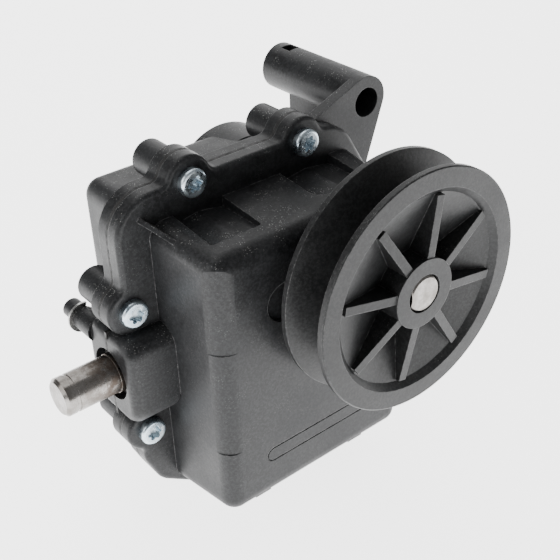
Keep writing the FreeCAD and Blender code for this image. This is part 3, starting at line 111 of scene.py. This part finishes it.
class Nodes:
    """Short way to build a node material."""

    def __init__(self, name):
        self.material = bpy.data.materials.new(name)
        self.material.use_nodes = True
        self.tree = self.material.node_tree
        self.shader = self.tree.nodes["Principled BSDF"]
        self.place = self.add("ShaderNodeTexCoord").outputs["Object"]

    def add(self, kind, **settings):
        made = self.tree.nodes.new(kind)
        for key, setting in settings.items():
            setattr(made, key, setting)
        return made

    def link(self, source, target):
        self.tree.links.new(source, target)

    def feed(self, target, source):
        """Set a socket to a number or link it to another socket."""
        if isinstance(source, bpy.types.NodeSocket):
            self.link(source, target)
        else:
            target.default_value = source

    def noise(self, scale, detail=4.0, roughness=0.55, place=None):
        made = self.add("ShaderNodeTexNoise")
        made.inputs["Scale"].default_value = scale
        made.inputs["Detail"].default_value = detail
        made.inputs["Roughness"].default_value = roughness
        self.link(place or self.place, made.inputs["Vector"])
        return made.outputs["Fac"]

    def cells(self, scale, place=None):
        made = self.add("ShaderNodeTexVoronoi")
        made.inputs["Scale"].default_value = scale
        self.link(place or self.place, made.inputs["Vector"])
        return made.outputs["Distance"]

    def ramp(self, source, low, high, from_value=0.0, to_value=1.0):
        made = self.add("ShaderNodeMapRange", interpolation_type="SMOOTHSTEP")
        self.feed(made.inputs["Value"], source)
        made.inputs["From Min"].default_value = low
        made.inputs["From Max"].default_value = high
        made.inputs["To Min"].default_value = from_value
        made.inputs["To Max"].default_value = to_value
        return made.outputs["Result"]

    def math(self, operation, first, second=0.0):
        made = self.add("ShaderNodeMath", operation=operation)
        self.feed(made.inputs[0], first)
        self.feed(made.inputs[1], second)
        return made.outputs[0]

    def mix(self, factor, first, second):
        made = self.add("ShaderNodeMix", data_type="RGBA")
        self.feed(made.inputs["Factor"], factor)
        for socket, side in (("A", first), ("B", second)):
            self.feed(made.inputs[socket], (*side, 1.0) if isinstance(side, tuple) else side)
        return made.outputs["Result"]

    def scaled_place(self, scale):
        made = self.add("ShaderNodeMapping")
        made.inputs["Scale"].default_value = scale
        self.link(self.place, made.inputs["Vector"])
        return made.outputs["Vector"]

    def axis(self, name):
        made = self.add("ShaderNodeSeparateXYZ")
        self.link(self.place, made.inputs["Vector"])
        return made.outputs[name]

    def facing(self, name):
        """Component of the surface normal along a row axis."""
        geometry = self.add("ShaderNodeNewGeometry")
        made = self.add("ShaderNodeSeparateXYZ")
        self.link(geometry.outputs["Normal"], made.inputs["Vector"])
        return made.outputs[name]

    def edges(self, radius):
        """Near 1 where the surface turns sharply within the radius, else 0."""
        bevel = self.add("ShaderNodeBevel", samples=BEVEL_SAMPLES)
        bevel.inputs["Radius"].default_value = radius
        geometry = self.add("ShaderNodeNewGeometry")
        dot = self.add("ShaderNodeVectorMath", operation="DOT_PRODUCT")
        self.link(bevel.outputs["Normal"], dot.inputs[0])
        self.link(geometry.outputs["Normal"], dot.inputs[1])
        return self.ramp(dot.outputs["Value"], 0.999, 0.90, 0.0, 1.0)

    def bump(self, heights, rounding=0.0):
        """Stack of (height socket, strength, distance) bumps on softly rounded edges."""
        normal = None
        if rounding:
            bevel = self.add("ShaderNodeBevel", samples=BEVEL_SAMPLES)
            bevel.inputs["Radius"].default_value = rounding
            normal = bevel.outputs["Normal"]
        for height, strength, distance in heights:
            made = self.add("ShaderNodeBump")
            made.inputs["Strength"].default_value = strength
            made.inputs["Distance"].default_value = distance
            self.link(height, made.inputs["Height"])
            if normal is not None:
                self.link(normal, made.inputs["Normal"])
            normal = made.outputs["Normal"]
        self.link(normal, self.shader.inputs["Normal"])


def moulded_plastic(name, dark, light, roughness, dust):
    """Glass-filled nylon: fine spark-eroded grain, soft mottling, pale edges and dust."""
    n = Nodes(name)
    mottle = n.ramp(n.noise(38, 6, 0.65), 0.35, 0.70)
    fibre = n.ramp(n.noise(900, 4, 0.7), 0.40, 0.64)
    colour = n.mix(mottle, dark, light)
    fibre_tone = tuple(channel * 2.2 for channel in light)
    colour = n.mix(n.math("MULTIPLY", fibre, 0.55), colour, fibre_tone)
    worn = n.math("MULTIPLY", n.edges(0.45 * MM), n.ramp(n.noise(420, 5, 0.7), 0.42, 0.60))
    colour = n.mix(n.math("MULTIPLY", worn, 0.40), colour, EDGE_DUST)
    upward = n.ramp(n.facing("Z"), 0.25, 0.95, 0.16, 1.0)
    specks = n.ramp(n.cells(1300), 0.30, 0.12)
    patches = n.ramp(n.noise(120, 5, 0.75), 0.46, 0.64)
    film = n.math("MULTIPLY", n.math("MULTIPLY", specks, patches), upward)
    colour = n.mix(n.math("MULTIPLY", film, dust), colour, DUST)
    n.link(colour, n.shader.inputs["Base Color"])
    sheen = n.ramp(mottle, 0.0, 1.0, roughness - 0.05, roughness + 0.07)
    n.link(sheen, n.shader.inputs["Roughness"])
    n.shader.inputs["Specular IOR Level"].default_value = PLASTIC_SPECULAR
    grain = n.noise(2600, 3, 0.7)
    n.bump([(grain, 0.40, 0.06 * MM), (n.noise(700, 3, 0.6), 0.35, 0.10 * MM)], rounding=0.4 * MM)
    return n.material


def ground_steel(name):
    """Ground steel bar with fine turning lines and a brown stain near the housing."""
    n = Nodes(name)
    along = n.scaled_place((2600, 60, 60))
    lines = n.noise(1.0, 3, 0.6, place=along)
    clouds = n.ramp(n.noise(160, 5, 0.65), 0.35, 0.7)
    colour = n.mix(clouds, (0.19, 0.175, 0.16), (0.34, 0.325, 0.31))
    from_middle = n.math("ABSOLUTE", n.axis("X"))
    near = n.ramp(from_middle, 0.0845, 0.068)
    outside = n.ramp(from_middle, 0.060, 0.064)
    stain = n.math("MULTIPLY", near, n.ramp(n.noise(260, 6, 0.75), 0.38, 0.58))
    stain = n.math("MULTIPLY", stain, outside)
    colour = n.mix(n.math("MULTIPLY", stain, 0.80), colour, STAIN)
    n.link(colour, n.shader.inputs["Base Color"])
    n.shader.inputs["Metallic"].default_value = 1.0
    n.link(n.ramp(stain, 0.0, 1.0, 0.24, 0.50), n.shader.inputs["Roughness"])
    n.bump([(lines, 0.25, 0.03 * MM), (n.noise(900, 3), 0.15, 0.04 * MM)], rounding=0.15 * MM)
    return n.material


def plain_metal(name, dark, light, roughness):
    """Metal with cloudy tone, fine scratches and rounded edges."""
    n = Nodes(name)
    clouds = n.ramp(n.noise(SCRATCH_SCALE / 4, 5, 0.65), 0.35, 0.68)
    colour = n.mix(clouds, dark, light)
    worn = n.edges(0.2 * MM)
    bright = tuple(min(1.0, channel * 1.25) for channel in light)
    colour = n.mix(n.math("MULTIPLY", worn, 0.5), colour, bright)
    n.link(colour, n.shader.inputs["Base Color"])
    n.shader.inputs["Metallic"].default_value = 1.0
    n.link(n.ramp(clouds, 0.0, 1.0, roughness, roughness + 0.12), n.shader.inputs["Roughness"])
    n.bump([(n.noise(SCRATCH_SCALE, 4, 0.7), 0.2, 0.04 * MM)], rounding=METAL_ROUNDING)
    return n.material


def rubber(name, dark, light):
    """Black rubber or sealant with a fine uneven skin."""
    n = Nodes(name)
    colour = n.mix(n.ramp(n.noise(300, 5), 0.35, 0.7), dark, light)
    n.link(colour, n.shader.inputs["Base Color"])
    n.link(n.ramp(n.noise(500, 4), 0.3, 0.7, 0.5, 0.75), n.shader.inputs["Roughness"])
    n.bump([(n.noise(1200, 4, 0.6), 0.35, 0.08 * MM)])
    return n.material


# slot: dark tone, light tone, roughness, share of dust
PLASTICS = {
    "housing_plastic": ((0.007, 0.0072, 0.0078), (0.016, 0.0165, 0.0175), 0.42, 0.60),
    "pulley_plastic": ((0.008, 0.0082, 0.0085), (0.016, 0.0163, 0.0167), 0.40, 0.25),
}
# slot: dark tone, light tone, roughness
METALS = {
    "zinc_screw": ((0.46, 0.55, 0.62), (0.78, 0.86, 0.90), 0.24),
    "spring_steel": ((0.42, 0.42, 0.41), (0.66, 0.66, 0.64), 0.24),
    "bearing_steel": ((0.56, 0.56, 0.57), (0.76, 0.76, 0.76), 0.16),
    "cage_brass": ((0.55, 0.38, 0.14), (0.80, 0.62, 0.30), 0.3),
    "bush_bronze": ((0.28, 0.17, 0.08), (0.45, 0.29, 0.15), 0.45),
    "wheel_bronze": ((0.52, 0.33, 0.13), (0.74, 0.52, 0.25), 0.28),
}
# slot: dark tone, light tone
RUBBERS = {
    "gasket": ((0.004, 0.004, 0.004), (0.012, 0.011, 0.010)),
    "seal_rubber": ((0.010, 0.010, 0.010), (0.022, 0.021, 0.020)),
}


def make_materials():
    """One material for each material slot of the record."""
    made = {"ground_steel": ground_steel("ground_steel")}
    for table, maker in ((PLASTICS, moulded_plastic), (METALS, plain_metal), (RUBBERS, rubber)):
        made.update({slot: maker(slot, *look) for slot, look in table.items()})
    return made


def dress_nodes(materials):
    """Give every CAD node the material of its slot."""
    slots = {entry["node"]: entry["material_slot"] for entry in frame["record"]["subparts"]}
    for name, obj in frame["nodes"].items():
        obj.data.materials.clear()
        obj.data.materials.append(materials[slots[name]])


def make_spring():
    """Coil of the clutch as a copy with its own mesh, carried by the output body in place of the
    CAD node.
    """
    node = frame["nodes"]["clutch_spring"]
    coil = bpy.data.objects.new("clutch_spring_coil", node.data.copy())
    coil.matrix_world = node.matrix_world.copy()
    bpy.context.scene.collection.objects.link(coil)
    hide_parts("clutch_spring")
    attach(coil, "output")
    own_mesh(coil)


# --------------------------------------------------------------------------- stage
FLOOR_SIZE = 6
FLOOR_GLOW = 3.6
ROOM_GREY = 0.30
AIM = Vector((0, 0, 0.08))
# name: place in metres, size in metres, power in watts
SOFTBOXES = {
    "back_softbox": ((0.55, 0.85, 0.60), 1.0, 6),
    "top_softbox": ((0.0, 0.20, 1.00), 0.7, 3),
    "left_softbox": ((-0.85, 0.10, 0.50), 0.6, 3),
}


def softbox(name, place, size, power):
    """Square area light aimed at the middle of the gearbox."""
    data = bpy.data.lights.new(name, "AREA")
    data.size = size
    data.energy = power
    light = bpy.data.objects.new(name, data)
    light.location = place
    toward = AIM - Vector(place)
    light.rotation_euler = toward.to_track_quat("-Z", "Y").to_euler()
    bpy.context.scene.collection.objects.link(light)


def make_stage():
    """Plain pale floor that glows softly, a grey room and three softboxes."""
    bpy.ops.mesh.primitive_plane_add(size=FLOOR_SIZE, location=(0, 0, cad_low.z))
    floor = bpy.context.object
    floor.name = "floor"
    n = Nodes("floor")
    tone = n.mix(n.noise(3, 2), (0.93, 0.93, 0.93), (0.95, 0.95, 0.95))
    n.link(tone, n.shader.inputs["Base Color"])
    n.link(tone, n.shader.inputs["Emission Color"])
    n.shader.inputs["Emission Strength"].default_value = FLOOR_GLOW
    n.shader.inputs["Roughness"].default_value = 0.9
    floor.data.materials.append(n.material)
    world = bpy.data.worlds.new("studio")
    world.use_nodes = True
    world.node_tree.nodes["Background"].inputs["Color"].default_value = (1, 1, 1, 1)
    world.node_tree.nodes["Background"].inputs["Strength"].default_value = ROOM_GREY
    bpy.context.scene.world = world
    for name, (place, size, power) in SOFTBOXES.items():
        softbox(name, place, size, power)


make_camera()
dress_nodes(make_materials())
make_spring()
make_stage()
